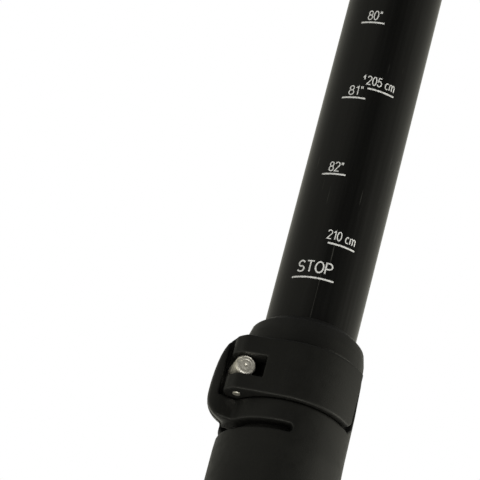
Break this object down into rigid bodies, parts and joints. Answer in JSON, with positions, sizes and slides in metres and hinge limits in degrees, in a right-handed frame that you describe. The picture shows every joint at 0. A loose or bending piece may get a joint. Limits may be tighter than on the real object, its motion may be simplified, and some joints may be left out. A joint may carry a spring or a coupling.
{
  "type": "stand-up paddle",
  "caption": "Length-adjustable stand-up paddle: palm grip on a graduated inner tube, lever clamp, outer tube and raked blade.",
  "frame": {"origin": "on the shaft's axis where the lower hand holds the outer tube, 1000 mm above the blade's tip", "axes": "+Z along the shaft towards the palm grip, +X along the grip and across the blade, -Y towards the printed scale and the clamp lever"},
  "size_m": [0.201, 0.0992, 2.1247],
  "materials": {
    "tube_black": "satin black anodised, fine scratches along the tube",
    "clamp_black": "fine-grained black nylon",
    "grip_black": "smooth semi-gloss black plastic",
    "blade_black": "fibre-filled black nylon, satin",
    "steel_bright": "turned stainless steel",
    "glide_nylon": "natural nylon",
    "seal_rubber": "black rubber",
    "float_foam": "closed-cell foam",
    "scale_print": "light grey pad print"
  },
  "bodies": {
    "root": {"lower_shaft": "tube_black", "lower_foam_plug": "float_foam", "blade": "blade_black", "blade_rivet": "steel_bright", "clamp_collar": "clamp_black", "collar_liner": "clamp_black", "cam_plate": "clamp_black", "rod_washer": "steel_bright"},
    "glide": {"glide_ring": "glide_nylon"},
    "upper": {"upper_shaft": "tube_black", "palm_grip": "grip_black", "grip_rivet_front": "tube_black", "grip_rivet_rear": "tube_black", "upper_foam_plug": "float_foam", "shaft_end_plug": "clamp_black", "seal_ring": "seal_rubber"},
    "bolt": {"clamp_rod": "steel_bright"},
    "lever": {"clamp_lever": "clamp_black", "hinge_pin": "steel_bright"},
    "nut": {"tension_nut": "steel_bright"}
  },
  "joints": [
    {"name": "length_slide", "type": "slide", "parent": "root", "child": "glide", "axis": [0, 0, 1], "range_m": [-0.4244, 0]},
    {"name": "shaft_twist", "type": "hinge", "parent": "glide", "child": "upper", "pos_m": [0, 0, 0.4], "axis": [0, 0, 1], "continuous": true},
    {"name": "rod_pull", "type": "slide", "parent": "root", "child": "bolt", "axis": [0.2079, -0.9781, 0], "range_m": [-0.0004, 0]},
    {"name": "lever_swing", "type": "hinge", "parent": "bolt", "child": "lever", "pos_m": [-0.01541, -0.01264, 0.489], "axis": [0, 0, -1], "range_deg": [0, 120]},
    {"name": "nut_turn", "type": "hinge", "parent": "bolt", "child": "nut", "pos_m": [-0.01887, 0.00366, 0.489], "axis": [0.2079, -0.9781, 0], "continuous": true}
  ],
  "couplings": [
    {"joint": "rod_pull", "follows": "lever_swing", "m_per_rad": -0.000176}
  ]
}
